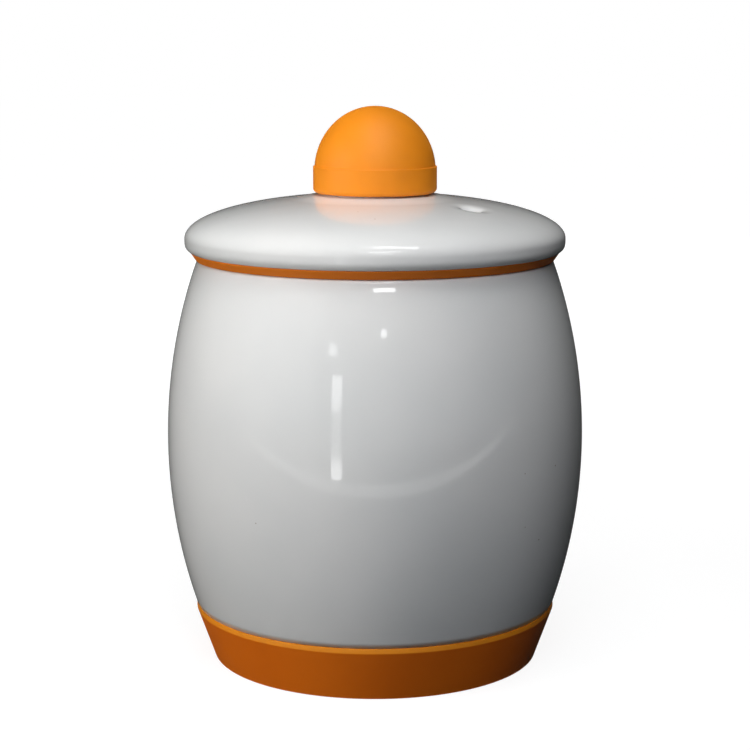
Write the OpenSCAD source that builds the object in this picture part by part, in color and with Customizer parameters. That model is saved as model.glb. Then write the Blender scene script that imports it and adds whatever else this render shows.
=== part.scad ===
// Microwave egg cooker. A glazed ceramic pot stands in a silicone boot. A ceramic lid
// closes it, with a silicone seal round its spigot and a silicone knob on its post.
// Millimetres, +Z up, origin at the centre of the base. Every piece is turned about Z,
// from an outline of [radius, height] points.

/* [Pot] */
// Outer diameter at the belly
belly_d = 102; // [94:0.5:116]
// Height of the belly's widest ring above the table
belly_z = 54.4; // [46:0.2:62]
// Outer diameter at the rim, before its edge is rounded
rim_d = 86.4; // [78:0.2:90]
// Height of the rim above the table
rim_z = 98.6; // [88:0.1:115]
// Width of the rim, from the outside to the mouth
rim_w = 4.8; // [4:0.1:7]
// Rounding of the rim's two edges
rim_round = 1.3; // [0.4:0.1:1.8]
// Thickness of the side wall
pot_wall = 4.6; // [3.5:0.1:6]
// Thickness of the floor
pot_floor = 4.6; // [3.5:0.1:9]
// Radius of the curve from the floor to the wall
floor_fillet = 16; // [6:0.5:22]
// Height of the sloping shoulder under the mouth
mouth_shoulder = 5; // [3:0.5:9]
// Width of the ring that the pot stands on
foot_ring_w = 5; // [3:0.5:10]
// Depth of the hollow inside that ring
foot_hollow = 1.5; // [0.5:0.1:3]

/* [Boot] */
// Height of the boot's top edge, where the pot comes out of it
boot_h = 13.6; // [11:0.1:20]
// Diameter at the table
boot_base_d = 80.2; // [72:0.2:84]
// Thickness of the skirt
boot_wall = 2.2; // [1.6:0.1:3]
// Thickness of the floor
boot_floor = 2.4; // [1.6:0.1:4]
// Height of the brim at the top edge, above the boot's widest ring
brim_h = 1.2; // [0.8:0.1:2]
// How far the brim stands out past the pot's edge
brim_proud = 0.1; // [0.05:0.05:1]
// Rounding of the brim's widest ring
brim_round = 0.6; // [0.2:0.1:1]
// Rounding of the bottom edge
boot_edge = 0.3; // [0.2:0.1:1.5]
// Width of the ring that touches the table
base_ring_w = 8; // [4:0.5:16]
// Depth of the hollow inside that ring
base_hollow = 0.8; // [0.3:0.1:1.2]

/* [Lid] */
// Overhang of the lid past the rim
lid_overhang = 3; // [1.5:0.1:6]
// Rise of the crown above the lid's widest ring
crown_h = 10.4; // [7:0.1:16]
// Fullness of the crown: 2 is an ellipse, more is squarer
crown_power = 2.12; // [2:0.01:2.6]
// Height of the widest ring above the lid's underside
lid_edge_h = 2.9; // [2.2:0.1:4.2]
// How far the underside's edge lies inside the widest ring
lid_edge_in = 1.2; // [0.8:0.1:2.2]
// Height of the boss on the crown, which the knob stands on
boss_h = 0.3; // [0.2:0.1:2]
// How far the boss lies inside the knob's side
boss_inset = 2; // [1.5:0.1:3]
// How far the crown swells up round the boss, above its even curve
swell_h = 0.55; // [0:0.05:1]
// Width of that swelling
swell_w = 8; // [6:0.5:10]
// Thickness of the lid under the boss
lid_wall = 7; // [4:0.1:7.5]
// Thickness of the spigot's wall, behind the seal
spigot_wall = 3.1; // [2.2:0.1:4.5]
// Reach of the lip that keeps the seal on the spigot
spigot_lip = 1.2; // [0.6:0.1:1.6]
// Height of that lip
spigot_lip_h = 2.6; // [1.6:0.1:5]
// Radius of the curve from the spigot to the ceiling
ceiling_fillet = 1.5; // [1:0.1:4]

/* [Vent] */
// Diameter of the steam hole
vent_d = 3.8; // [2:0.1:5]
// How far the hole's rounded mouth widens past the hole
vent_flare = 2.7; // [1:0.1:3.2]
// Depth of that mouth
vent_dip = 1.4; // [0.8:0.1:3]
// Distance of the hole from the spigot's inner wall
vent_inset = 3.5; // [3:0.1:8]
// Direction of the hole from the axis, in degrees from +X
vent_angle = -36; // [-180:1:180]

/* [Seal] */
// Thickness of the flange between rim and lid
flange_t = 2.1; // [1.2:0.1:3]
// How far the flange's lower edge stands out past the rim
flange_proud = 0.35; // [0.1:0.05:0.8]
// Thickness of the sleeve round the spigot
sleeve_t = 1.6; // [1:0.1:2.2]
// Depth of the sleeve below the rim
seal_depth = 6.6; // [5:0.1:12]
// Thickness of each wiping lip
lip_t = 1.3; // [0.9:0.1:1.8]
// Height from one lip to the next
lip_pitch = 2.8; // [2:0.1:4]
// Reach of each lip past the sleeve
lip_reach = 1.7; // [1:0.1:2.2]
// Width of each lip at its tip
lip_tip = 0.5; // [0.3:0.1:0.8]

/* [Knob] */
// Diameter of the band
knob_d = 30; // [24:0.5:40]
// Height of the band's top edge above the boss
band_h = 6.4; // [5:0.1:12]
// Height of the whole knob above the boss
knob_h = 20.8; // [17:0.1:30]
// Drop from the band's top edge to the middle of the dome's ellipse
dome_drop = 1.2; // [0.4:0.1:2.5]
// Width of the ledge between the band and the dome
ledge_w = 0.3; // [0.15:0.05:0.8]
// Rounding of the band's lower edge
knob_round = 1.1; // [0.3:0.1:1.4]
// Thickness of the band's wall
knob_wall = 4.4; // [3:0.1:6]
// Thickness of the dome over the post
knob_top_wall = 5.5; // [3:0.1:7]
// Height of the neck that the knob grips, at the foot of the post
neck_h = 4; // [2.5:0.1:6]
// Depth of that neck
neck_depth = 0.9; // [0.4:0.1:1.5]

/* [Fits] */
// Gap between a silicone piece and the ceramic it is stretched over
stretch_fit = 0.1; // [0.05:0.01:0.2]
// Radial gap between the seal's sleeve and the spigot
seal_fit = 0.15; // [0.1:0.01:0.3]
// Radial gap between the wiping lips and the mouth
wipe_gap = 0.3; // [0.2:0.05:0.5]

// Spare depth of the straight mouth below the seal
mouth_spare = 1; // [0.5:0.1:3]

/* [Roundings] */
// Rounding of the pot's foot and of the shoulder in its mouth
foot_round = 3; // [1.5:0.1:4]
// Rounding of the post's top
post_round = 6; // [3:0.1:8]
// Rounding of the smaller ceramic edges
small_round = 0.5; // [0.3:0.05:0.6]
// Rounding of the finest edges
fine_round = 0.25; // [0.1:0.05:0.4]
// Furthest that a chord may lie from its arc
chord_error = 0.04; // [0.01:0.01:0.1]

/* [Hidden] */
$fn = 128;

// Points along the crown, along the dome and along the vent's mouth
crown_steps = 20;
dome_steps = 16;
vent_steps = 5;

ceramic_white = [0.93, 0.93, 0.91];
silicone_orange = [0.96, 0.58, 0.12];

// The side of the pot is one arc, through the belly and the rim
belly_r = belly_d / 2;
rim_r = rim_d / 2;
mouth_r = rim_r - rim_w;
side_r = (pow(rim_z - belly_z, 2) + pow(belly_r - rim_r, 2)) / (2 * (belly_r - rim_r));
side_c = [belly_r - side_r, belly_z];
inner_side_r = side_r - pot_wall;

// The boot's brim leans out from the pot's side, and its skirt runs from there to the base
boot_base_r = boot_base_d / 2;
boot_top = boot_h - stretch_fit;
brim_r = pot_r(boot_h) + brim_proud;
brim_z = boot_top - brim_h;
skirt_slope = (brim_r - boot_base_r) / brim_z;
boot_wall_across = boot_wall * norm([1, skirt_slope]);

// The pot stands on the boot's floor
foot_r = boot_inner_r(boot_floor) - stretch_fit;
foot_ring_in = foot_r - foot_round - foot_ring_w;
floor_z = boot_floor + foot_hollow + pot_floor;

// The lid rests on the seal's flange, which rests on the rim
lid_z = rim_z + flange_t;
lid_r = rim_r + lid_overhang;
lid_wide_z = lid_z + lid_edge_h;
lid_under_r = lid_r - lid_edge_in;
lid_edge_r = (pow(lid_edge_h, 2) + pow(lid_edge_in, 2)) / (2 * lid_edge_in);
lid_edge_c = [lid_r - lid_edge_r, lid_wide_z];

// The seal's sleeve lies between the mouth and the spigot
wipe_r = mouth_r - wipe_gap;
sleeve_out_r = wipe_r - lip_reach;
sleeve_in_r = sleeve_out_r - sleeve_t;
sleeve_z = rim_z - seal_depth;
lip_margin = lip_t / 2 + small_round;
lip_count = floor((seal_depth - 2 * lip_margin) / lip_pitch) + 1;
lip_first_z = sleeve_z + (seal_depth - (lip_count - 1) * lip_pitch) / 2;

// The spigot fills the sleeve, and its lip holds the sleeve up
groove_r = sleeve_in_r - seal_fit;
spigot_in_r = groove_r - spigot_wall;
spigot_lip_r = groove_r + spigot_lip;
spigot_lip_z = sleeve_z - seal_fit;
spigot_z = spigot_lip_z - spigot_lip_h;

// The knob stands on the boss, round the post
knob_r = knob_d / 2;
boss_r = knob_r - boss_inset;
boss_z = crown_z(boss_r);
seat_z = boss_z + boss_h;
// The boss is low, so each of its two roundings takes at most a third of its height
boss_round = min(fine_round, boss_h / 3);
ceiling_z = boss_z - lid_wall;
knob_top = seat_z + knob_h;
band_top = seat_z + band_h;
dome_r = knob_r - ledge_w;
dome_c = band_top - dome_drop;
dome_rise = knob_top - dome_c;
post_r = knob_r - knob_wall - stretch_fit;
post_top = knob_top - knob_top_wall - stretch_fit;
neck_r = post_r - neck_depth;

// The steam hole stands square to the crown, clear of the spigot
vent_r = spigot_in_r - vent_inset;
vent_tilt = atan(crown_fall(vent_r));
// How far a cutter runs past what it cuts
cut_over = vent_d / 2;

// Outer radius of the pot's side at a height
function pot_r(z) = side_c.x + sqrt(side_r * side_r - pow(z - side_c.y, 2));

// Radius of the pot's inner side at a height
function pot_inner_r(z) = side_c.x + sqrt(inner_side_r * inner_side_r - pow(z - side_c.y, 2));

// Radius of the inside of the boot's skirt at a height
function boot_inner_r(z) = boot_base_r + skirt_slope * z - boot_wall_across;

// How far a radius lies across the swelling round the boss, as an angle from 0 to 180
function swell_a(r) = 180 * min(1, max(0, (r - boss_r) / swell_w));

// Height of the crown at a radius, how steeply it falls there, and its radius at a
// parameter that runs from 0, widest, to 90
function crown_z(r) =
    lid_wide_z + crown_h * pow(1 - pow(r / lid_r, crown_power), 1 / crown_power)
    + swell_h * (1 + cos(swell_a(r))) / 2;
function crown_fall(r) =
    crown_h / lid_r * pow(r / lid_r, crown_power - 1)
    * pow(1 - pow(r / lid_r, crown_power), 1 / crown_power - 1)
    + swell_h * PI / (2 * swell_w) * sin(swell_a(r));
function crown_at(a) = lid_r * pow(cos(a), 2 / crown_power);
crown_end = acos(pow(boss_r / lid_r, crown_power / 2));

// Points along an arc, close enough together to follow it
function arc(c, r, from, to) =
    let (step = 2 * acos(1 - chord_error / r), n = max(2, ceil(abs(to - from) / step)))
    [for (i = [0:n]) let (a = from + (to - from) * i / n) c + r * [cos(a), sin(a)]];

// Angle of a point seen from a centre, and the shorter way round from one angle to another
function bearing(c, p) = atan2(p.y - c.y, p.x - c.x);
function turn(from, to) = let (t = to - from) t > 180 ? t - 360 : t < -180 ? t + 360 : t;
function unit(v) = v / norm(v);
function flat(p) = [p.x, p.y];

// The arc of radius r that rounds the corner at b, between the lines to a and c
function corner(a, b, c, r) =
    let (
        u = unit(flat(a) - flat(b)),
        v = unit(flat(c) - flat(b)),
        half = acos(u * v) / 2,
        centre = flat(b) + unit(u + v) * r / sin(half),
        first = flat(b) + u * r / tan(half),
        last = flat(b) + v * r / tan(half),
        start = bearing(centre, first)
    )
    arc(centre, r, start, start + turn(start, bearing(centre, last)));

// An outline whose points may hold a third number, the rounding of that corner
function rounded(points) =
    let (n = len(points))
    [for (i = [0:n - 1])
        each is_undef(points[i][2])
            ? [points[i]]
            : corner(points[(i + n - 1) % n], points[i], points[(i + 1) % n], points[i][2])];

module turned(points) rotate_extrude(convexity = 8) polygon(rounded(points));

// The rim's outer edge: the arc that is tangent to the side and to the rim's flat top
function rim_edge() =
    let (
        rise = rim_z - rim_round - belly_z,
        c = [side_c.x + sqrt(pow(side_r - rim_round, 2) - rise * rise), belly_z + rise]
    )
    arc(c, rim_round, bearing(side_c, c), 90);

// The curve from the floor to the inner side, tangent to both
function floor_curve() =
    let (
        rise = floor_z + floor_fillet - belly_z,
        c = [side_c.x + sqrt(pow(inner_side_r - floor_fillet, 2) - rise * rise), belly_z + rise]
    )
    arc(c, floor_fillet, bearing(side_c, c), -90);

module pot() {
    outer = arc(side_c, side_r, bearing(side_c, [pot_r(boot_h), boot_h]), bearing(side_c, rim_edge()[0]));
    shoulder_z = rim_z - seal_depth - mouth_spare;
    shoulder_low = [pot_inner_r(shoulder_z - mouth_shoulder), shoulder_z - mouth_shoulder];
    inner = arc(side_c, inner_side_r, bearing(side_c, shoulder_low), bearing(side_c, floor_curve()[0]));
    color(ceramic_white) turned(concat(
        [
            [0, boot_floor + foot_hollow],
            [foot_ring_in, boot_floor + foot_hollow, small_round],
            [foot_ring_in, boot_floor, small_round],
            [foot_r, boot_floor, foot_round],
            [boot_inner_r(boot_h) - stretch_fit, boot_h, fine_round]
        ],
        outer,
        rim_edge(),
        [[mouth_r, rim_z, rim_round], [mouth_r, shoulder_z, foot_round]],
        inner,
        floor_curve(),
        [[0, floor_z]]
    ));
}

module boot() {
    base_ring_in = boot_base_r - base_ring_w;
    color(silicone_orange) turned([
        [0, base_hollow],
        [base_ring_in, base_hollow, fine_round],
        [base_ring_in, 0, fine_round],
        [boot_base_r, 0, boot_edge],
        [brim_r, brim_z, brim_round],
        [pot_r(boot_h), boot_top],
        [boot_inner_r(boot_top), boot_top],
        [boot_inner_r(boot_floor), boot_floor, foot_round - small_round],
        [0, boot_floor]
    ]);
}

// The outside of the post, grown by a gap: the lid's post, and the socket in the knob
function post_outline(gap) = [
    [neck_r + gap, seat_z, small_round],
    [neck_r + gap, seat_z + neck_h - gap, small_round],
    [post_r + gap, seat_z + neck_h + neck_depth - gap, small_round],
    [post_r + gap, post_top + gap, post_round + gap],
    [0, post_top + gap]
];

// The steam hole and its rounded mouth, standing on the origin
module vent_cutter() {
    bore_r = vent_d / 2;
    mouth = [for (i = [0:vent_steps])
        let (a = 90 * i / vent_steps)
        [bore_r + vent_flare * (1 - cos(a)), vent_dip * (sin(a) - 1)]];
    translate([0, 0, -lid_wall - cut_over]) cylinder(r = bore_r, h = lid_wall + 2 * cut_over);
    turned(concat(
        [[0, cut_over], [0, -vent_dip]],
        mouth,
        [[bore_r + vent_flare, cut_over]]
    ));
}

module lid() {
    crown = [for (i = [1:crown_steps - 1])
        let (r = crown_at(crown_end * i / crown_steps)) [r, crown_z(r)]];
    color(ceramic_white) difference() {
        turned(concat(
            [
                [0, ceiling_z],
                [spigot_in_r, ceiling_z, ceiling_fillet],
                [spigot_in_r, spigot_z, small_round],
                [spigot_lip_r, spigot_z, small_round],
                [spigot_lip_r, spigot_lip_z, fine_round],
                [groove_r, spigot_lip_z],
                [groove_r, lid_z]
            ],
            arc(lid_edge_c, lid_edge_r, bearing(lid_edge_c, [lid_under_r, lid_z]), 0),
            crown,
            [[boss_r, boss_z, boss_round], [boss_r, seat_z, boss_round]],
            post_outline(0)
        ));
        rotate([0, 0, vent_angle])
            translate([vent_r, 0, crown_z(vent_r)])
            rotate([0, vent_tilt, 0])
            vent_cutter();
    }
}

module lid_seal() {
    lips = [for (i = [0:lip_count - 1])
        let (z = lip_first_z + i * lip_pitch)
        each [
            [sleeve_out_r, z - lip_t / 2],
            [wipe_r, z - lip_tip / 2],
            [wipe_r, z + lip_tip / 2],
            [sleeve_out_r, z + lip_t / 2]
        ]];
    color(silicone_orange) turned(concat(
        [[sleeve_in_r, sleeve_z, fine_round], [sleeve_out_r, sleeve_z, fine_round]],
        lips,
        [
            [sleeve_out_r, rim_z],
            [rim_r + flange_proud, rim_z, fine_round],
            [lid_under_r, lid_z, fine_round],
            [sleeve_in_r, lid_z]
        ]
    ));
}

module knob() {
    socket = post_outline(stretch_fit);
    start = asin(dome_drop / dome_rise);
    dome = [for (i = [0:dome_steps])
        let (a = start + (90 - start) * i / dome_steps)
        [i < dome_steps ? dome_r * cos(a) : 0, dome_c + dome_rise * sin(a)]];
    color(silicone_orange) turned(concat(
        [[knob_r, seat_z, knob_round], [knob_r, band_top]],
        dome,
        [for (i = [len(socket) - 1:-1:0]) socket[i]]
    ));
}

pot();
boot();
lid();
lid_seal();
knob();
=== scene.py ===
# %% [markdown]
# # A ceramic egg cooker with silicone fittings
# The object is a small barrel-shaped jar for cooking eggs in a microwave oven. A glazed pot
# stands in a soft boot, and a glazed lid lies on a soft seal, with a soft knob on top. All five
# pieces are turned about one upright axis, so most of this lesson is about drawing a good
# outline and turning it. The rest is about two finishes, a wet-looking glaze and a matte
# silicone, and about the light that shows them.
#
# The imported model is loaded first. It fixes where every piece is and how it moves, and its
# boxes give the main sizes below. Outlines are written in millimetres, as a maker would.

import bpy
import numpy as np
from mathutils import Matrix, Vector


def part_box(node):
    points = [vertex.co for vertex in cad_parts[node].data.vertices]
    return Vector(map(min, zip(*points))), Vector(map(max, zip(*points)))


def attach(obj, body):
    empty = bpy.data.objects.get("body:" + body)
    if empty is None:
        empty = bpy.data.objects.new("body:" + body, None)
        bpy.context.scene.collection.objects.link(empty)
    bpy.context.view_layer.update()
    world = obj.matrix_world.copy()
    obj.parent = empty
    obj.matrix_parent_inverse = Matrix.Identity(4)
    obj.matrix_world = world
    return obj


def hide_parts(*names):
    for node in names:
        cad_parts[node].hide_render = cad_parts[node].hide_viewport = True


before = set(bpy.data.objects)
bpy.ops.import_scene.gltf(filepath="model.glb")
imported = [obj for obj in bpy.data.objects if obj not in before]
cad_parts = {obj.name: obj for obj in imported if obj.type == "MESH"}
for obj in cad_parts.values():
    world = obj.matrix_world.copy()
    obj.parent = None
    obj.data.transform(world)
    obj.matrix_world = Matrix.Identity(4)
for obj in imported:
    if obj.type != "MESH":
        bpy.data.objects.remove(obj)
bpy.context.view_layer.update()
MM = 0.001


def measured(node):
    """The largest radius, the bottom and the top of a node that is turned about Z, in millimetres."""
    low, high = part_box(node)
    return np.round(np.array([high.x, low.z, high.z]) / MM, 1)


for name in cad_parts:
    print(name, "radius, bottom, top:", measured(name))

# %% [markdown]
# ## Outlines
# An outline is a short list of corners, each with a radius and a height. A real edge is never
# sharp: glaze runs off it and rubber is moulded with a small radius. So a corner may hold a
# third number, the radius of its rounding. Bevel modifiers could round the edges too, but here
# the rounding is worked out on the flat outline, where it costs a few points and is exact.

# %% Arcs, rounded corners and even spacing
CORNER_POINTS = 9
ARC_POINTS = 60
TINY = 1e-6


def arc(centre, radius, start, stop, points=ARC_POINTS):
    """Points round a centre: centre + radius * (cos a, sin a), with a even from start to stop, in
    degrees."""
    a = np.radians(np.linspace(start, stop, points))
    return np.asarray(centre) + radius * np.column_stack([np.cos(a), np.sin(a)])


def bearing(centre, point):
    """The direction of a point seen from a centre, in degrees."""
    away = np.asarray(point) - np.asarray(centre)
    return np.degrees(np.arctan2(away[1], away[0]))


def unit(vectors):
    """Each row divided by its own length."""
    return vectors / np.maximum(np.linalg.norm(vectors, axis=-1, keepdims=True), TINY)


def finely(points, longest):
    """Splits each straight step evenly, so that none is longer than the given length."""
    steps = np.linalg.norm(np.diff(points, axis=0), axis=1)
    counts = np.maximum(1, np.ceil(steps / longest)).astype(int)
    first = np.repeat(np.arange(len(steps)), counts)
    share = np.arange(counts.sum()) - np.repeat(np.cumsum(counts) - counts, counts)
    share = (share / counts[first])[:, None]
    return np.vstack([points[first] * (1 - share) + points[first + 1] * share, points[-1:]])


def outline(*stretches, longest=1.0):
    """Joins stretches of [radius, height, rounding] corners into one line of closely spaced points.
    The arc that rounds a corner is centred on the bisector of its two sides, at rounding / sin(half
    the angle between them), and touches each side at rounding / tan(half that angle)."""
    rows = [np.array(s, float).reshape(-1, np.shape(s)[-1]) for s in stretches]
    corners = np.vstack([np.pad(r, ((0, 0), (0, 3 - r.shape[1]))) for r in rows])
    at, rounding = corners[:, :2], corners[:, 2:]
    back = unit(np.roll(at, 1, axis=0) - at)
    ahead = unit(np.roll(at, -1, axis=0) - at)
    half = np.arccos(np.clip((back * ahead).sum(axis=1, keepdims=True), -1, 1)) / 2
    half = np.maximum(half, TINY)
    middle = at + unit(back + ahead) * rounding / np.sin(half)
    first = at + back * rounding / np.tan(half) - middle
    last = at + ahead * rounding / np.tan(half) - middle
    start = np.arctan2(first[:, 1], first[:, 0])
    sweep = (np.arctan2(last[:, 1], last[:, 0]) - start + np.pi) % (2 * np.pi) - np.pi
    a = start[:, None] + sweep[:, None] * np.linspace(0, 1, CORNER_POINTS)
    points = middle[:, None] + rounding[:, None] * np.stack([np.cos(a), np.sin(a)], axis=-1)
    points = points.reshape(-1, 2)
    apart = np.linalg.norm(np.diff(points, axis=0), axis=1) > TINY
    return finely(points[np.concatenate([[True], apart])], longest)


sample = outline([[0, 0, 0], [10, 0, 2], [10, 5, 0]])
print("a corner of radius 2 between sides of 10 and 5:", len(sample), "points")

# %% [markdown]
# ## Turning
# Turning an outline gives a grid of points, with the outline along one way and the angle along
# the other. Blender's Screw modifier does the same, but a grid that is worked out here has known
# rows and columns, and the steam vent needs those later. The outline runs so that the solid lies
# on its left. Then every face points outwards.

# %% Turn an outline into a mesh
COLUMNS = 240


def turned(line, first_angle=0.0):
    """Turns an outline about Z: x = r cos t, y = r sin t, z = h, with t even round the circle.
    Where the outline starts and ends on the axis, each end is one point with a fan of triangles.
    Otherwise its last row joins its first. Returns the points, the quads and the triangles."""
    solid = line[0, 0] < TINY
    rows = line[1:-1] if solid else line
    t = first_angle + 2 * np.pi * np.arange(COLUMNS) / COLUMNS
    spin = np.column_stack([np.cos(t), np.sin(t), np.ones(COLUMNS)])
    points = (rows[:, None, [0, 0, 1]] * spin).reshape(-1, 3)
    here = np.arange(COLUMNS)
    beside = (here + 1) % COLUMNS
    low = np.arange(len(rows) - solid)[:, None] * COLUMNS
    high = (low + COLUMNS) % len(points)
    quads = np.stack([low + here, low + beside, high + beside, high + here], axis=-1).reshape(-1, 4)
    triangles = np.zeros((0, 3), int)
    if solid:
        ends = np.column_stack([np.zeros((2, 2)), line[[0, -1], 1]])
        top_row = (len(rows) - 1) * COLUMNS
        first_fan = np.column_stack([np.full(COLUMNS, len(points)), beside, here])
        last_fan = np.column_stack([top_row + here, top_row + beside, np.full(COLUMNS, len(points) + 1)])
        triangles = np.vstack([first_fan, last_fan])
        points = np.vstack([points, ends])
    return points, quads, triangles


def add_piece(name, points, quads, triangles):
    """Makes a smooth-shaded object at the origin, with its place in its mesh."""
    mesh = bpy.data.meshes.new(name)
    mesh.from_pydata((points * MM).tolist(), [], quads.tolist() + triangles.tolist())
    mesh.shade_smooth()
    piece = bpy.data.objects.new(name, mesh)
    bpy.context.collection.objects.link(piece)
    print(name, "has", len(points), "points and", len(quads), "quads")
    return piece


# %% [markdown]
# ## Pot
# The pot is cast in a mould, so its side is one even curve: an arc through the belly and the rim.
# The wall follows that arc inside, then turns through a wide curve to the floor, which a spoon can
# scrape clean. Its mouth is straight, because the lid's seal slides in there. Its foot steps in,
# to leave room for the boot.

# %% Sizes that the pot shares with its neighbours
belly_r, boot_floor, rim_z = measured("pot")
belly_z = 54.4
rim_r = 43.2
boot_top = 13.6
boot_base_r = 40.1
boot_wall = 2.2
brim_h = 1.2
brim_proud = 0.1
stretch_fit = 0.1

side_r = ((rim_z - belly_z) ** 2 + (belly_r - rim_r) ** 2) / (2 * (belly_r - rim_r))
side_centre = np.array([belly_r - side_r, belly_z])


def side_at(height, radius=side_r):
    """Radius of the pot's side at a height: the arc's centre + sqrt(arc radius^2 - height^2 from it)."""
    return side_centre[0] + np.sqrt(radius**2 - (height - side_centre[1]) ** 2)


# The boot's brim leans out from the pot's side, and its skirt runs from there to the table
brim_r = side_at(boot_top) + brim_proud
brim_z = boot_top - stretch_fit - brim_h
skirt_slope = (brim_r - boot_base_r) / brim_z


def skirt_inside(height):
    """Radius of the inside of the boot's skirt: its outside less the wall, measured square to it."""
    return boot_base_r + skirt_slope * height - boot_wall * np.hypot(1, skirt_slope)


print("side arc", round(side_r, 2), "mm, boot's skirt widens", round(skirt_slope, 3), "per mm")

# %% The pot's outline
rim_width = 4.8
rim_round = 1.3
pot_wall = 4.6
pot_floor = 4.6
floor_curve = 16
seal_depth = 6.6
mouth_spare = 1.0
shoulder_drop = 5.0
foot_ring = 5.0
foot_hollow = 1.5
foot_round = 3.0
small_round = 0.5
fine_round = 0.25

mouth_r = rim_r - rim_width
wall_r = side_r - pot_wall
floor_z = boot_floor + foot_hollow + pot_floor
foot_r = skirt_inside(boot_floor) - stretch_fit
foot_ring_in = foot_r - foot_round - foot_ring
shoulder_z = rim_z - seal_depth - mouth_spare
shoulder_low = np.array([side_at(shoulder_z - shoulder_drop, wall_r), shoulder_z - shoulder_drop])

rim_centre = np.array([side_at(rim_z - rim_round, side_r - rim_round), rim_z - rim_round])
floor_centre = np.array([side_at(floor_z + floor_curve, wall_r - floor_curve), floor_z + floor_curve])
rim_angle = bearing(side_centre, rim_centre)
floor_angle = bearing(side_centre, floor_centre)

pot_line = outline(
    [
        [0, boot_floor + foot_hollow, 0],
        [foot_ring_in, boot_floor + foot_hollow, small_round],
        [foot_ring_in, boot_floor, small_round],
        [foot_r, boot_floor, foot_round],
        [skirt_inside(boot_top) - stretch_fit, boot_top, fine_round],
    ],
    arc(side_centre, side_r, bearing(side_centre, [side_at(boot_top), boot_top]), rim_angle),
    arc(rim_centre, rim_round, rim_angle, 90, CORNER_POINTS),
    [[mouth_r, rim_z, rim_round], [mouth_r, shoulder_z, foot_round]],
    arc(side_centre, wall_r, bearing(side_centre, shoulder_low), floor_angle),
    arc(floor_centre, floor_curve, floor_angle, -90),
    [[0, floor_z, 0]],
    longest=1.6,
)
pot = add_piece("pot_body", *turned(pot_line))

# %% [markdown]
# ## Boot
# The boot is a shallow cup of silicone, stretched over the foot. Its brim lies against the pot's side
# and leans out a little, and the skirt runs in from the brim to the table. A cone with a bevel would
# lose the narrow face of that brim, which catches the light as a bright line all round.

# %% The boot's outline
boot_edge = 0.3
brim_round = 0.5
brim_lip = 0.15
base_ring = 8.0
base_hollow = 0.8

boot_line = outline(
    [
        [0, base_hollow, 0],
        [boot_base_r - base_ring, base_hollow, fine_round],
        [boot_base_r - base_ring, 0, fine_round],
        [boot_base_r, 0, boot_edge],
        [brim_r, brim_z, brim_round],
        [side_at(boot_top), boot_top - stretch_fit, brim_lip],
        [skirt_inside(boot_top - stretch_fit), boot_top - stretch_fit, fine_round],
        [skirt_inside(boot_floor), boot_floor, foot_round - small_round],
        [0, boot_floor, 0],
    ],
)
boot = add_piece("boot_sleeve", *turned(boot_line))

# %% [markdown]
# ## Seal
# A ring of silicone keeps the lid from rattling and holds the steam in. Its flange lies between
# the rim and the lid, and shows as a thin line. Its sleeve goes down into the mouth, with two lips
# that wipe it. Only the flange shows while the lid is on, but the rest shows when the lid is lifted.

# %% The seal's outline
_, sleeve_z, lid_z = measured("lid_seal")
lid_r = measured("lid")[0]
lid_edge_h = 2.9
lid_edge_in = 1.2
lid_edge_power = 4
lid_edge_points = 24
wipe_gap = 0.3
lip_reach = 1.7
lip_width = 1.3
lip_tip = 0.5
lip_pitch = 2.8
lip_count = 2
lip_round = 0.2
sleeve_wall = 1.6
flange_proud = 0.35

lid_wide_z = lid_z + lid_edge_h
# The lid's edge stays nearly upright at first, and then turns in quickly towards the seal
share = np.linspace(1, 0, lid_edge_points)
lid_edge_r = lid_r - lid_edge_in * share**lid_edge_power
lid_edge = np.column_stack([lid_edge_r, lid_wide_z - lid_edge_h * share])
wipe_r = mouth_r - wipe_gap
sleeve_out = wipe_r - lip_reach
sleeve_in = sleeve_out - sleeve_wall

lip_z = sleeve_z + (seal_depth - (lip_count - 1) * lip_pitch) / 2 + lip_pitch * np.arange(lip_count)
lip_across = np.array([sleeve_out, wipe_r, wipe_r, sleeve_out])
lip_along = np.array([-lip_width, -lip_tip, lip_tip, lip_width]) / 2
lips = np.column_stack([
    np.tile(lip_across, lip_count),
    (lip_z[:, None] + lip_along).ravel(),
    np.full(lip_count * len(lip_across), lip_round),
])
seal_line = outline(
    [[sleeve_in, sleeve_z, fine_round], [sleeve_out, sleeve_z, fine_round]],
    lips,
    [
        [sleeve_out, rim_z, fine_round],
        [rim_r + flange_proud, rim_z, fine_round],
        [lid_edge[0, 0], lid_z, fine_round],
        [sleeve_in, lid_z, fine_round],
        [sleeve_in, (sleeve_z + lid_z) / 2, 0],
    ],
    longest=0.6,
)
seal = add_piece("seal_ring", *turned(seal_line))

# %% [markdown]
# ## Lid
# The lid is one casting: a low crown with a soft edge, a spigot below that carries the seal, and a
# post above that the knob snaps over. The crown is a superellipse, a little fuller than an ellipse, and
# it swells gently up to the low boss that the knob stands on. Its outline is made in stretches, so that
# two groups of rows are known: those on the crown and those on the ceiling, which the steam vent joins.

# %% The lid's outline
knob_r, seat_z, knob_top = measured("knob")
crown_rise = 10.4
crown_power = 2.12
boss_h = 0.3
boss_inset = 2.0
boss_round = 0.1
swell_h = 0.55
swell_w = 8.0
lid_wall = 7.0
seal_fit = 0.15
spigot_wall = 3.1
spigot_lip = 1.2
spigot_lip_h = 2.6
ceiling_fillet = 1.5
knob_wall = 4.4
knob_top_wall = 5.5
neck_h = 4.0
neck_depth = 0.9
post_round = 6.0

groove_r = sleeve_in - seal_fit
spigot_in = groove_r - spigot_wall
spigot_lip_z = sleeve_z - seal_fit
boss_r = knob_r - boss_inset
boss_z = seat_z - boss_h
ceiling_z = boss_z - lid_wall
post_r = knob_r - knob_wall - stretch_fit
post_top = knob_top - knob_top_wall - stretch_fit


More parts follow.
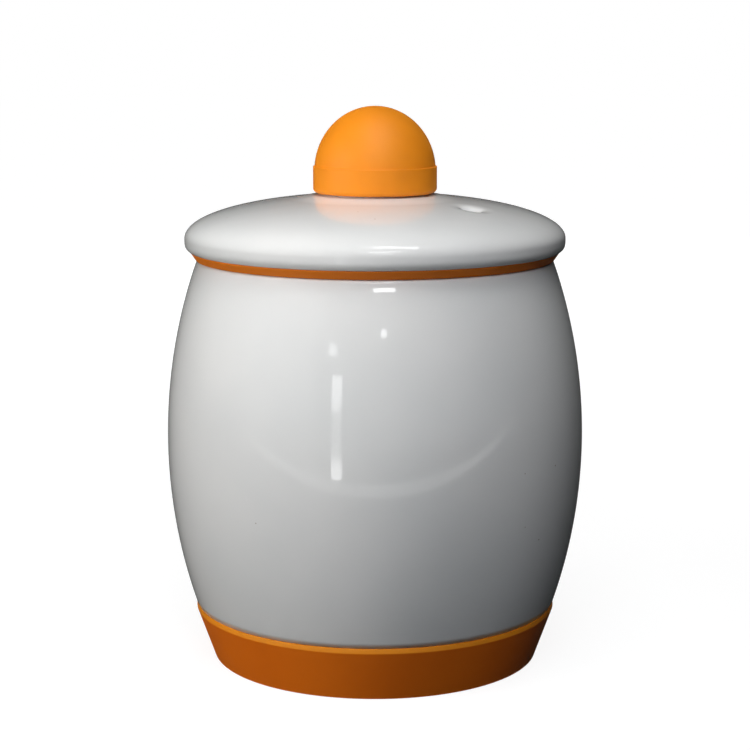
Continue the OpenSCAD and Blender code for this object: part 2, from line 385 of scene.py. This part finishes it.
def swell_angle(r):
    """How far a radius lies across the swelling round the boss, as an angle from 0 to pi."""
    return np.pi * np.clip((r - boss_r) / swell_w, 0, 1)


def crown_at(r):
    """Height of the crown: (r / widest)^p + (rise / full rise)^p = 1, and half a cosine wave near
    the boss."""
    rise = crown_rise * (1 - np.minimum(r / lid_r, 1) ** crown_power) ** (1 / crown_power)
    return lid_wide_z + rise + swell_h * (1 + np.cos(swell_angle(r))) / 2


def crown_slope(r):
    """How steeply the crown falls at a radius."""
    share = (r / lid_r) ** crown_power
    fall = crown_rise / lid_r * share / (r / lid_r) * (1 - share) ** (1 / crown_power - 1)
    return fall + swell_h * np.pi / (2 * swell_w) * np.sin(swell_angle(r))


def post_outline(gap):
    """The necked post, grown by a gap: the lid's post, or the socket in the knob."""
    neck_r = post_r - neck_depth
    return [
        [neck_r + gap, seat_z, small_round],
        [neck_r + gap, seat_z + neck_h - gap, small_round],
        [post_r + gap, seat_z + neck_h + neck_depth - gap, small_round],
        [post_r + gap, post_top + gap, post_round + gap],
        [0, post_top + gap, 0],
    ]


# %% [markdown]
# ## Steam vent
# The vent is a small hole with a rounded mouth, square to the crown. A Boolean would cut it, but
# would leave long thin faces that shade badly on a mirror-like glaze. Instead a window of quads is
# left out of the crown and another out of the ceiling, and rings of points lead from the crown's
# window to a circle, round the mouth, down the hole and out to the ceiling's window.

# %% Where the vent goes
vent_bore = 1.9
vent_flare = 3.5
vent_dip = 1.4
vent_softness = 1.6
vent_inset = 3.5
vent_angle = np.radians(-36)
vent_edge = 0.3
window_rows = 12
window_columns = 18
crown_half = 6.0
ceiling_half = 2.6
outer_crown_points = 40
inner_crown_points = 24
crown_ring_count = 7
mouth_ring_count = 18
hole_ring_count = 4
edge_ring_count = 5
ceiling_ring_count = 3
NEWTON_STEPS = 6

vent_r = spigot_in - vent_inset
tilt = np.arctan(crown_slope(vent_r))
vent_exit_r = vent_r - (crown_at(vent_r) - ceiling_z) * np.tan(tilt)
ceiling_rows = np.linspace(vent_exit_r - ceiling_half, vent_exit_r + ceiling_half, window_rows + 1)
crown_rows = np.linspace(vent_r + crown_half, vent_r - crown_half, window_rows + 1)

# The crown is followed from its widest ring inwards, evenly in the angle of its superellipse
sweep_end = np.degrees(np.arccos(((vent_r + crown_half) / lid_r) ** (crown_power / 2)))
sweep = np.radians(np.linspace(0, sweep_end, outer_crown_points))
outer_crown = lid_r * np.cos(sweep) ** (2 / crown_power)
inner_crown = np.linspace(vent_r - crown_half, boss_r + 2 * boss_round, inner_crown_points)

stretches = [
    outline([[0, ceiling_z], [ceiling_rows[0], ceiling_z]]),
    np.column_stack([ceiling_rows, np.full(window_rows + 1, ceiling_z)]),
    outline(
        [
            [ceiling_rows[-1], ceiling_z, 0],
            [spigot_in, ceiling_z, ceiling_fillet],
            [spigot_in, spigot_lip_z - spigot_lip_h, small_round],
            [groove_r + spigot_lip, spigot_lip_z - spigot_lip_h, small_round],
            [groove_r + spigot_lip, spigot_lip_z, fine_round],
            [groove_r, spigot_lip_z, fine_round],
            [groove_r, lid_z, fine_round],
        ],
        lid_edge,
    ),
    np.column_stack([outer_crown, crown_at(outer_crown)]),
    np.column_stack([crown_rows, crown_at(crown_rows)]),
    np.column_stack([inner_crown, crown_at(inner_crown)]),
    outline(
        [
            [inner_crown[-1], crown_at(inner_crown[-1]), 0],
            [boss_r, crown_at(boss_r), boss_round],
            [boss_r, seat_z, boss_round],
        ],
        post_outline(0),
    ),
]
lid_line = np.vstack([stretches[0]] + [s[1:] for s in stretches[1:]])
row_ends = np.cumsum([len(stretches[0])] + [len(s) - 1 for s in stretches[1:]]) - 1
# The first point lies on the axis and has no row of its own
ceiling_first, ceiling_last = row_ends[0] - 1, row_ends[1] - 1
crown_first, crown_last = row_ends[3] - 1, row_ends[4] - 1
print("vent at radius", round(float(vent_r), 2), "tilted", round(float(np.degrees(tilt)), 1), "degrees")

# %% Leave out the windows and lead rings of points through the hole
left = (COLUMNS - window_columns) // 2
right = left + window_columns
lid_points, lid_quads, lid_triangles = turned(lid_line, vent_angle + np.pi)

quad_row, quad_column = np.divmod(lid_quads[:, 0], COLUMNS)
in_columns = (quad_column >= left) & (quad_column < right)
in_ceiling = (quad_row >= ceiling_first) & (quad_row < ceiling_last)
in_crown = (quad_row >= crown_first) & (quad_row < crown_last)
lid_quads = lid_quads[~(in_columns & (in_ceiling | in_crown))]


def round_window(outer, inner):
    """Indices of the grid's points once round a window, from the outer row's left corner."""
    rows = np.linspace(outer, inner, window_rows + 1).astype(int)
    columns = np.arange(left, right + 1)
    row = np.concatenate([
        np.full(window_columns, outer),
        rows[:-1],
        np.full(window_columns, inner),
        rows[:0:-1],
    ])
    column = np.concatenate([
        columns[:-1],
        np.full(window_rows, right),
        columns[:0:-1],
        np.full(window_rows, left),
    ])
    return row * COLUMNS + column


outward = np.array([np.cos(vent_angle), np.sin(vent_angle), 0])
sideways = np.array([-np.sin(vent_angle), np.cos(vent_angle), 0])
upward = np.array([0, 0, 1])
vent_at = vent_r * outward + crown_at(vent_r) * upward
slope_way = np.cos(tilt) * outward - np.sin(tilt) * upward
vent_axis = np.sin(tilt) * outward + np.cos(tilt) * upward


def seen_from_vent(points):
    """Distances of points from the vent's middle, down the slope and sideways."""
    return (points - vent_at) @ np.column_stack([slope_way, sideways])


def from_vent(across, height):
    """Points at distances down the slope and sideways, and at a height along the vent's axis."""
    return vent_at + across @ np.vstack([slope_way, sideways]) + height[..., None] * vent_axis


def onto_crown(across):
    """Height along the vent's axis at which a point lies on the crown, by Newton's steps."""
    height = np.zeros(across.shape[:-1])
    for _ in range(NEWTON_STEPS):
        at = from_vent(across, height)
        height = height - (at[..., 2] - crown_at(np.hypot(at[..., 0], at[..., 1]))) / np.cos(tilt)
    return height


def onto_ceiling(across):
    """Height along the vent's axis at which a point lies on the flat ceiling."""
    level = from_vent(across, np.zeros(across.shape[:-1]))[..., 2]
    return (ceiling_z - level) / np.cos(tilt)


def ring(angles, radius):
    """Points round the vent's axis."""
    return radius[..., None] * np.stack([np.cos(angles), np.sin(angles)], axis=-1)


top_loop = round_window(crown_first, crown_last)
low_loop = round_window(ceiling_last, ceiling_first)
top_across = seen_from_vent(lid_points[top_loop])
low_across = seen_from_vent(lid_points[low_loop])
top_angle = np.unwrap(np.arctan2(top_across[:, 1], top_across[:, 0]))
low_angle = np.unwrap(np.arctan2(low_across[:, 1], low_across[:, 0]))
whole = np.ones(len(top_loop))

# From the crown's window to the mouth's circle, on the crown
ease = np.linspace(0, 1, crown_ring_count + 1)[1:, None, None]
crown_across = top_across * (1 - ease) + ring(top_angle, (vent_bore + vent_flare) * whole) * ease
crown_rings = from_vent(crown_across, onto_crown(crown_across))
mouth_height = onto_crown(crown_across)[-1]

# Round the mouth: a quarter of an ellipse, raised to a power so that it leaves the crown softly
a = np.radians(np.linspace(0, 90, mouth_ring_count + 1))[1:, None]
vent_mouth_r = (vent_bore + vent_flare - vent_flare * np.sin(a)) * whole
mouth_across = ring(top_angle * np.ones_like(a), vent_mouth_r)
mouth_rings = from_vent(mouth_across, mouth_height - vent_dip * (1 - np.cos(a)) ** vent_softness)

# Down the hole and round its lower edge, turning to the ceiling's own angles on the way
down = np.linspace(0, 1, hole_ring_count + 1)[1:, None]
hole_angle = top_angle * (1 - down) + low_angle * down
hole_across = ring(hole_angle, vent_bore * np.ones_like(hole_angle))
hole_floor = onto_ceiling(hole_across) + vent_edge
hole_height = (mouth_height - vent_dip) * (1 - down) + hole_floor * down
a = np.radians(np.linspace(0, 90, edge_ring_count + 1))[1:, None]
edge_across = ring(low_angle * np.ones_like(a), (vent_bore + vent_edge * (1 - np.cos(a))) * whole)
edge_height = onto_ceiling(edge_across) + vent_edge * (1 - np.sin(a))

# From the hole's edge to the ceiling's window
ease = np.linspace(0, 1, ceiling_ring_count + 2)[1:-1, None, None]
low_rings_across = edge_across[-1] * (1 - ease) + low_across * ease
vent_points = np.concatenate([
    crown_rings,
    mouth_rings,
    from_vent(hole_across, hole_height),
    from_vent(edge_across, edge_height),
    from_vent(low_rings_across, onto_ceiling(low_rings_across)),
])
inner_rings = len(lid_points) + np.arange(vent_points[..., 0].size).reshape(vent_points.shape[:2])
rings = np.vstack([top_loop, inner_rings, low_loop])
following = np.roll(rings, -1, axis=1)
vent_quads = np.stack([rings[:-1], following[:-1], following[1:], rings[1:]], axis=-1).reshape(-1, 4)
lid = add_piece(
    "lid_dome",
    np.vstack([lid_points, vent_points.reshape(-1, 3)]),
    np.vstack([lid_quads, vent_quads]),
    lid_triangles,
)

# %% [markdown]
# ## Knob
# The knob is a cap of silicone with a half-ellipse on top of a short straight band. It is moulded in
# two halves that meet where the band ends, and the upper half is a hair smaller, so a fine ledge runs
# round it. Inside is the socket that snaps over the post.

# %% The knob's outline
band_h = 6.4
knob_round = 1.1
dome_drop = 1.2
ledge_w = 0.3
ledge_round = 0.1
band_top = seat_z + band_h
dome_centre_z = band_top - dome_drop
dome_rise = knob_top - dome_centre_z
dome_a = np.linspace(np.arcsin(dome_drop / dome_rise), np.pi / 2, ARC_POINTS)
dome = np.column_stack([(knob_r - ledge_w) * np.cos(dome_a), dome_centre_z + dome_rise * np.sin(dome_a)])
dome[-1, 0] = 0
socket = np.array(post_outline(stretch_fit))[::-1]

knob_line = outline(
    socket,
    [
        [knob_r, seat_z, knob_round],
        [knob_r, band_top, ledge_round],
        [*dome[0], ledge_round],
    ],
    dome[1:],
    longest=0.7,
)
knob = add_piece("knob_cap", *turned(knob_line))

# %% [markdown]
# ## Shader maths
# Finishes are built from nodes. Written out one by one, the nodes hide the idea, so one small class
# wraps a node's output. Arithmetic on it adds Math nodes, and its one method adds any other node.

# %% A wrapper for shader sockets


class Shade:
    """One output of a node in a shader tree."""

    def __init__(self, tree, socket=None):
        self.tree = tree
        self.socket = socket

    def node(self, kind, settings=None, inputs=None, output=0):
        """Adds a node: first its settings, then a value or a link for each of its inputs."""
        made = self.tree.nodes.new(kind)
        for name, value in (settings or {}).items():
            setattr(made, name, value)
        for name, value in (inputs or {}).items():
            if isinstance(value, Shade):
                self.tree.links.new(value.socket, made.inputs[name])
            else:
                made.inputs[name].default_value = value
        return Shade(self.tree, made.outputs[output]) if len(made.outputs) else made

    def math(self, operation, first, second):
        return self.node("ShaderNodeMath", {"operation": operation}, {0: first, 1: second})

    def __add__(self, other):
        return self.math("ADD", self, other)

    def __radd__(self, other):
        return self.math("ADD", other, self)

    def __sub__(self, other):
        return self.math("SUBTRACT", self, other)

    def __rsub__(self, other):
        return self.math("SUBTRACT", other, self)

    def __mul__(self, other):
        return self.math("MULTIPLY", self, other)

    def __rmul__(self, other):
        return self.math("MULTIPLY", other, self)

    def __gt__(self, other):
        return self.math("GREATER_THAN", self, other)

    def or_(self, other):
        return self.math("MAXIMUM", self, other)

    def noise(self, scale, detail=2.0):
        """Soft random numbers about 0.5, read at this position."""
        return self.node("ShaderNodeTexNoise", {}, {"Vector": self, "Scale": scale, "Detail": detail})

    def between(self, low, high):
        """0 below low, 1 above high, and smooth between them."""
        return self.node(
            "ShaderNodeMapRange",
            {"interpolation_type": "SMOOTHSTEP"},
            {"Value": self, "From Min": low, "From Max": high},
        )

    def blend(self, first, second):
        """The first colour where this number is 0, and the second where it is 1."""
        return self.node("ShaderNodeMix", {"data_type": "RGBA"}, {0: self, 6: first, 7: second}, output=2)


def new_finish(name):
    """A material with an empty tree, and the place on the piece that its patterns read."""
    material = bpy.data.materials.new(name)
    material.use_nodes = True
    material.node_tree.nodes.clear()
    start = Shade(material.node_tree)
    return material, start, start.node("ShaderNodeTexCoord", output="Object")


def along(place, way):
    """How far a place lies along a direction."""
    inputs = {0: place, 1: way}
    return place.node("ShaderNodeVectorMath", {"operation": "DOT_PRODUCT"}, inputs, output="Value")


def shown(start, surface):
    """Sends a surface to the material's output."""
    start.node("ShaderNodeOutputMaterial", {}, {"Surface": surface})


# %% [markdown]
# ## Glaze
# The white glaze is glass over a pale body. It mirrors sharply, and its colour lies underneath. Three
# small faults keep it from looking like plastic: the glass is faintly wavy, because it ran while it
# was hot, its white drifts a little where it lies thicker, and a few specks of iron show as dots.

# %% The glaze
GLAZE_WHITE = (0.86, 0.86, 0.84, 1)
GLAZE_THICK = (0.815, 0.825, 0.81, 1)
SPECK_BROWN = (0.42, 0.36, 0.30, 1)
GLAZE_IOR = 1.5
# Each noise has a scale, in waves per metre, and a detail
THICK_NOISE = (28, 3)
THICK_RANGE = (0.35, 0.75)
SPECK_SCALE = 260
SPECK_EDGE = (0.03, 0.06)
SPECK_RARITY = 0.92
WAVE_NOISE = (70, 1)
RIPPLE_NOISE = (420, 2)
RIPPLE_SHARE = 0.06
WAVE_HEIGHT = 0.00006
GLAZE_ROUGH = 0.02
GLAZE_ROUGH_DRIFT = 0.03
GLAZE_ROUGH_NOISE = (55, 4)


def glaze_finish():
    """Glassy white, with slow drifts of colour, sparse specks and a faint waviness."""
    material, start, place = new_finish("white_glaze")
    thick = place.noise(*THICK_NOISE).between(*THICK_RANGE)
    scatter = {"Vector": place, "Scale": SPECK_SCALE}
    cells = start.node("ShaderNodeTexVoronoi", {}, scatter, output="Distance")
    draw = start.node("ShaderNodeTexVoronoi", {}, scatter, output="Color")
    chance = start.node("ShaderNodeSeparateColor", {}, {"Color": draw}, output="Red")
    speck = (1 - cells.between(*SPECK_EDGE)) * (chance > SPECK_RARITY)
    colour = speck.blend(thick.blend(GLAZE_WHITE, GLAZE_THICK), SPECK_BROWN)
    waves = place.noise(*WAVE_NOISE) + RIPPLE_SHARE * place.noise(*RIPPLE_NOISE)
    bump = start.node("ShaderNodeBump", {}, {"Height": waves, "Strength": 1.0, "Distance": WAVE_HEIGHT})
    surface = start.node(
        "ShaderNodeBsdfPrincipled",
        {},
        {
            "Base Color": colour,
            "Roughness": GLAZE_ROUGH + GLAZE_ROUGH_DRIFT * place.noise(*GLAZE_ROUGH_NOISE),
            "IOR": GLAZE_IOR,
            "Normal": bump,
        },
    )
    shown(start, surface)
    return material


# %% [markdown]
# ## Silicone
# The orange rubber comes out of a sand-blasted mould, so its skin is matte with a very fine grain.
# Each piece has its own tone, with light and shade painted in. The knob stands in the light and is painted
# a paler yellow orange. The seal lies in shade and is painted a deeper one. The boot, low down in shade, is
# painted the deepest, except at its brim, which faces the light and is painted paler.

# %% The silicone
# These tones hold painted light and shade: the knob's are painted paler and yellower because it stands in
# the light, the seal's and the boot's deeper because they stand in shade, and the brim's paler because it
# faces the light.
KNOB_LIT_TONES = ((0.98, 0.315, 0.011, 1), (0.95, 0.290, 0.009, 1))
SEAL_SHADED_TONES = ((0.88, 0.215, 0.008, 1), (0.82, 0.195, 0.007, 1))
BOOT_SHADED_TONES = ((0.98, 0.205, 0.006, 1), (0.93, 0.185, 0.005, 1))
BRIM_LIT_TONE = (0.98, 0.315, 0.010, 1)
SILICONE_IOR = 1.41
SILICONE_SPECULAR = 0.38
TONE_NOISE = (45, 4)
TONE_RANGE = (0.3, 0.7)
TONE_STEP = 0.3
FINE_GRAIN = (2600, 2)
COARSE_GRAIN = (900, 2)
COARSE_SHARE = 0.6
GRAIN_HEIGHT = 0.00002
SILICONE_ROUGH = 0.45
SILICONE_ROUGH_DRIFT = 0.16
SILICONE_ROUGH_NOISE = (300, 3)


def silicone_finish(name, tones, painted_tone_above, upper_z):
    """Matte orange that drifts between two tones, with a third painted tone above a height, and a fine
    moulded grain. On the boot that tone paints the brim paler where it faces the light."""
    material, start, place = new_finish(name)
    drift = place.noise(*TONE_NOISE).between(*TONE_RANGE)
    height = along(place, (0, 0, 1))
    # Above this height the tone is painted; on the boot, the brim is painted paler because it faces the
    # light.
    above = height.between((upper_z - TONE_STEP) * MM, (upper_z + TONE_STEP) * MM)
    grain = place.noise(*FINE_GRAIN) + COARSE_SHARE * place.noise(*COARSE_GRAIN)
    bump = start.node("ShaderNodeBump", {}, {"Height": grain, "Strength": 1.0, "Distance": GRAIN_HEIGHT})
    surface = start.node(
        "ShaderNodeBsdfPrincipled",
        {},
        {
            "Base Color": above.blend(drift.blend(*tones), painted_tone_above),
            "Roughness": SILICONE_ROUGH + SILICONE_ROUGH_DRIFT * place.noise(*SILICONE_ROUGH_NOISE),
            "IOR": SILICONE_IOR,
            "Specular IOR Level": SILICONE_SPECULAR,
            "Normal": bump,
        },
    )
    shown(start, surface)
    return material


# %% [markdown]
# ## Dressing the model
# Each new piece stands for one node of the imported model, rides on that node's body and takes its finish.
# The lid and its knob ride together, the seal goes with them when they are lifted, and the boot stays on
# the pot.

# %% Finish each piece and set it on its body
glaze = glaze_finish()
# Each piece gets its own copy of the silicone: painted light on the knob, painted shade on the seal and the
# boot.
boot_shaded_rubber = silicone_finish("boot_shaded_silicone", BOOT_SHADED_TONES, BRIM_LIT_TONE, brim_z)
seal_shaded_rubber = silicone_finish("seal_shaded_silicone", SEAL_SHADED_TONES, SEAL_SHADED_TONES[0], lid_z)
knob_lit_rubber = silicone_finish("knob_lit_silicone", KNOB_LIT_TONES, KNOB_LIT_TONES[0], knob_top)
for piece, node, body, slot, finish in (
    (pot, "pot", "pot", "glaze", glaze),
    (boot, "boot", "pot", "silicone", boot_shaded_rubber),
    (seal, "lid_seal", "seal", "silicone", seal_shaded_rubber),
    (lid, "lid", "lid", "glaze", glaze),
    (knob, "knob", "lid", "silicone", knob_lit_rubber),
):
    piece.data.materials.append(finish)
    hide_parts(node)
    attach(piece, body)
    print(piece.name, "stands for", node, "on", body, "in", slot)

# %% [markdown]
# ## Camera
# The camera stands a little above the lid and looks down slightly. A long lens keeps the barrel's
# sides nearly parallel.

# %% Camera
CAMERA_BACK = 480 * MM
CAMERA_HEIGHT = 153.94 * MM
CAMERA_DOWN = 9.975
CAMERA_LENS = 94.95

camera_data = bpy.data.cameras.new("camera")
camera_data.lens = CAMERA_LENS
camera_data.clip_start = 0.01
camera = bpy.data.objects.new("camera", camera_data)
camera.location = (0, -CAMERA_BACK, CAMERA_HEIGHT)
camera.rotation_euler = (np.radians(90 - CAMERA_DOWN), 0, 0)
bpy.context.collection.objects.link(camera)
bpy.context.scene.camera = camera
bpy.context.scene.view_settings.view_transform = "Standard"
print("camera", round(CAMERA_BACK, 3), "m in front, looking down", CAMERA_DOWN, "degrees")

# %% [markdown]
# ## Floor and surroundings
# The background is plain white. A floor that is lit to white would throw light back up and wash out
# the lower half of the pot. So the floor and the world look white to the camera and in reflections,
# and give the object only a little light. The floor still darkens where the object shades it.

# %% Floor and world
FLOOR_R = 4.0
FLOOR_NEAR = 0.10
FLOOR_FAR = 0.45
FLOOR_GLOW = 0.90
FLOOR_WHITE = (0.20, 0.20, 0.20, 1)
FLOOR_BOUNCE = (0.020, 0.025, 0.030, 1)
WORLD_WHITE = (1, 1, 1, 1)
WORLD_FILL = (0.002, 0.003, 0.004, 1)


def looked_at(start):
    """1 for rays from the camera, from a mirror or through glass, and 0 for rays that carry light."""
    kinds = ("Camera", "Glossy", "Transmission")
    path = [start.node("ShaderNodeLightPath", output=f"Is {kind} Ray") for kind in kinds]
    return path[0].or_(path[1]).or_(path[2])


def floor_finish():
    """Plain white to look at, with a shadow, and a dark grey to the light."""
    material, start, place = new_finish("floor")
    away = start.node("ShaderNodeVectorMath", {"operation": "LENGTH"}, {0: place}, output="Value")
    glow = FLOOR_GLOW + (1 - FLOOR_GLOW) * away.between(FLOOR_NEAR, FLOOR_FAR)
    lit = start.node("ShaderNodeBsdfDiffuse", {}, {"Color": FLOOR_WHITE})
    white = start.node("ShaderNodeEmission", {}, {"Strength": glow})
    pale = start.node("ShaderNodeAddShader", {}, {0: lit, 1: white})
    dark = start.node("ShaderNodeBsdfDiffuse", {}, {"Color": FLOOR_BOUNCE})
    shown(start, start.node("ShaderNodeMixShader", {}, {0: looked_at(start), 1: dark, 2: pale}))
    return material


def disc(radius, height):
    """Points evenly round a circle at one height, and the one face that they bound."""
    t = 2 * np.pi * np.arange(COLUMNS) / COLUMNS
    points = np.column_stack([radius * np.cos(t), radius * np.sin(t), np.full(COLUMNS, height)])
    return points, np.arange(COLUMNS)[None]


def add_stage(name, points, faces, material):
    """Makes an object that belongs to the studio and not to the cooker."""
    mesh = bpy.data.meshes.new(name)
    mesh.from_pydata(points.tolist(), [], faces.tolist())
    mesh.materials.append(material)
    made = bpy.data.objects.new(name, mesh)
    bpy.context.collection.objects.link(made)
    return made


add_stage("floor", *disc(FLOOR_R, 0), floor_finish())

world = bpy.data.worlds.new("studio")
bpy.context.scene.world = world
world.use_nodes = True
world.node_tree.nodes.clear()
sky = Shade(world.node_tree)
sky_colour = looked_at(sky).blend(WORLD_FILL, WORLD_WHITE)
backdrop = sky.node("ShaderNodeBackground", {}, {"Color": sky_colour})
sky.node("ShaderNodeOutputWorld", {}, {"Surface": backdrop})
print("floor", FLOOR_R, "m in radius")

# %% [markdown]
# ## Light
# Three soft lamps shape the barrel: one high up, whose light fades quickly down the pot and lets the
# lid throw a shadow below its edge, one in front, and one low on the left. They stand near, so the foot
# is dimmer than the shoulder. A small bright lamp gives the glaze its clear highlight, and a farther one,
# behind and a little to the right, keeps the far side from going black. Lamps that only shape the form
# are kept out of reflections.

# %% Lamps
AIM = Vector((0, 0, 62 * MM))
WHITE_LIGHT = (1, 1, 1)
COOL_LIGHT = (0.985, 1, 1.05)
WARM_LIGHT = (1.015, 1, 0.985)


def toward(azimuth, elevation):
    """A direction from the object, with azimuth to the right of the camera's side and elevation up."""
    a, e = np.radians([azimuth, elevation])
    return Vector((np.sin(a) * np.cos(e), -np.cos(a) * np.cos(e), np.sin(e)))


def lamp(name, azimuth, elevation, distance, width, height, watts, colour=WHITE_LIGHT, mirrored=False):
    """A soft rectangle of light that faces the pot and is not seen by the camera."""
    data = bpy.data.lights.new(name, "AREA")
    data.color = colour
    data.shape = "RECTANGLE"
    data.size = width
    data.size_y = height
    data.energy = watts
    made = bpy.data.objects.new(name, data)
    made.location = AIM + distance * toward(azimuth, elevation)
    made.rotation_euler = toward(azimuth, elevation).to_track_quat("Z", "Y").to_euler()
    made.visible_camera = False
    made.visible_glossy = mirrored
    bpy.context.collection.objects.link(made)
    print(name, "at", tuple(round(c, 3) for c in made.location), "gives", watts, "W")


# Azimuth and elevation in degrees, then distance, width and height in metres, then watts
lamp("top_lamp", 0, 72, 0.45, 0.20, 0.20, 0.78)
lamp("front_lamp", 0, 35, 0.50, 0.22, 0.22, 0.83, COOL_LIGHT)
lamp("side_lamp", -66, 15, 0.50, 0.22, 0.22, 1.20, WARM_LIGHT)
lamp("small_lamp", 6, 31.5, 0.90, 0.185, 0.040, 0.26, mirrored=True)
lamp("back_lamp", 162, 10, 1.00, 0.20, 0.30, 2.5)

# %% [markdown]
# ## Cards for the reflections
# A glossy pot shows what stands round it, and studios put dark and pale cards round a white pot to draw
# its form. These cards glow, and only reflections see them. A wall stands all round, pale in front, where
# it is palest low down, and dark behind, with two tall panes on the left. A dark table top lies under the
# pot, with a bright front edge, which gives the curved line across the glaze. The small cards and the
# panel on the ceiling are clear highlights.

# %% The wall, the ceiling and the table top
WALL_R = 1.2
WALL_TOP = 1.58
WALL_DARK = 0.03
WALL_FRONT = 0.66
WALL_UPPER = 0.35
CEILING = 0.25
CEILING_PANEL = 7.0
TABLE_DARK = 0.04
TABLE_EDGE = 1.20
TABLE_EDGE_Y = (-0.273, -0.217)
EDGE_BLUR = 0.004
TABLE_HEIGHT = 0.0004
WALL_POINTS = 181
FRONT_AZIMUTH = -10
FRONT_FADE = 0.75 * WALL_R
UPPER_FADE = (0.15 * WALL_R, 0.65 * WALL_R)


def add_card(name, points, faces, strength):
    """A card that glows in reflections, lights nothing and casts no shadow. The strength is a number
    or a function of the place on the card."""
    material, start, place = new_finish(name)
    glow = strength(place) if callable(strength) else strength
    shown(start, start.node("ShaderNodeEmission", {}, {"Strength": glow}))
    made = add_stage(name, points, faces, material)
    made.visible_camera = False
    made.visible_diffuse = False
    made.visible_transmission = False
    made.visible_shadow = False


def wall_glow(place):
    """Dark behind, pale in front, and less so higher up."""
    front = along(place, toward(FRONT_AZIMUTH, 0)).between(0, FRONT_FADE)
    upper = along(place, (0, 0, 1)).between(*UPPER_FADE)
    return WALL_DARK + front * (WALL_FRONT - WALL_DARK - (WALL_FRONT - WALL_UPPER) * upper)


def table_glow(place):
    """Dark, with a bright strip at the front edge and the wall's grey beyond it."""
    y = along(place, (0, 1, 0))
    edge = y.between(TABLE_EDGE_Y[0] - EDGE_BLUR, TABLE_EDGE_Y[0] + EDGE_BLUR)
    top = y.between(TABLE_EDGE_Y[1] - EDGE_BLUR, TABLE_EDGE_Y[1] + EDGE_BLUR)
    return wall_glow(place) * (1 - edge) + TABLE_EDGE * (edge - top) + TABLE_DARK * top


def wall_patch(azimuths, heights):
    """Points and quads of part of an upright cylinder: x = R sin a, y = -R cos a, z between two heights."""
    a = np.radians(azimuths)
    row = np.column_stack([np.sin(a), -np.cos(a)])
    points = np.vstack([np.column_stack([row * WALL_R, np.full(len(a), z)]) for z in heights])
    here = np.arange(len(a) - 1)
    return points, np.column_stack([here, here + 1, here + 1 + len(a), here + len(a)])


add_card("wall", *wall_patch(np.linspace(-180, 180, WALL_POINTS), (0, WALL_TOP)), wall_glow)
add_card("ceiling", *disc(WALL_R, WALL_TOP), CEILING)
add_card("table_top", *disc(WALL_R, TABLE_HEIGHT), table_glow)

# %% Panes, strips and glints
PANE_IN = 0.99
PANE_Z = (0.03, 0.74)
PANE_POINTS = 16
STRIP_GLOW = 2.0
STRIP_UPPER = 3.5
STRIP_UPPER_Z = (0.076, 0.088)
STRIP_LOWER = 5.0
STRIP_LOWER_Z = (0.012, 0.040)
PANEL_CORNERS = ((-0.03, -0.19), (0.425, -0.246), (0.54, -0.645), (-0.03, -0.55))
PANEL_Z = 0.99 * WALL_TOP
ONE_QUAD = np.array([[0, 1, 2, 3]])


def strip_glow(place):
    """Bright in its upper third and again towards its lower end, as a strip of wet light is."""
    z = along(place, (0, 0, 1))
    upper = STRIP_UPPER * z.between(*STRIP_UPPER_Z)
    return STRIP_GLOW + upper + STRIP_LOWER * (1 - z.between(*STRIP_LOWER_Z))


def facing_card(name, azimuth, elevation, distance, width, height, strength):
    """A rectangle that faces the pot, centred at a direction and a distance from it."""
    out = np.array(toward(azimuth, elevation))
    across = np.array(toward(azimuth + 90, 0))
    up = np.cross(across, -out)
    centre = np.array(AIM) + distance * out
    corners = np.array([[-1, -1], [1, -1], [1, 1], [-1, 1]]) / 2 * [width, height]
    add_card(name, centre + corners @ np.vstack([across, up]), ONE_QUAD, strength)


for name, first, last, glow in (("left_pane", -110, -83, 0.5), ("right_pane", -80, -34, 1.0)):
    points, faces = wall_patch(np.linspace(first, last, PANE_POINTS), PANE_Z)
    add_card(name, points * [PANE_IN, PANE_IN, 1], faces, glow)
# Azimuth and elevation in degrees, then distance, width and height in metres, then the glow
facing_card("front_strip", -18.6, 0, 0.274, 0.025, 0.116, strip_glow)
facing_card("left_glint", -23.5, 16.7, 0.90, 0.075, 0.045, 4.0)
facing_card("right_glint", 5, 21, 0.90, 0.05, 0.03, 8.0)
facing_card("lid_streak", 6, 47, 0.90, 0.26, 0.05, 20.0)
facing_card("back_strip", 180, 5, 1.0, 0.08, 0.20, 3.0)
panel = np.column_stack([PANEL_CORNERS, np.full(len(PANEL_CORNERS), PANEL_Z)])
add_card("ceiling_panel", panel, ONE_QUAD, CEILING_PANEL)
print("cards: a wall, a ceiling and its panel, a table top, two panes, two strips, two glints and a streak")
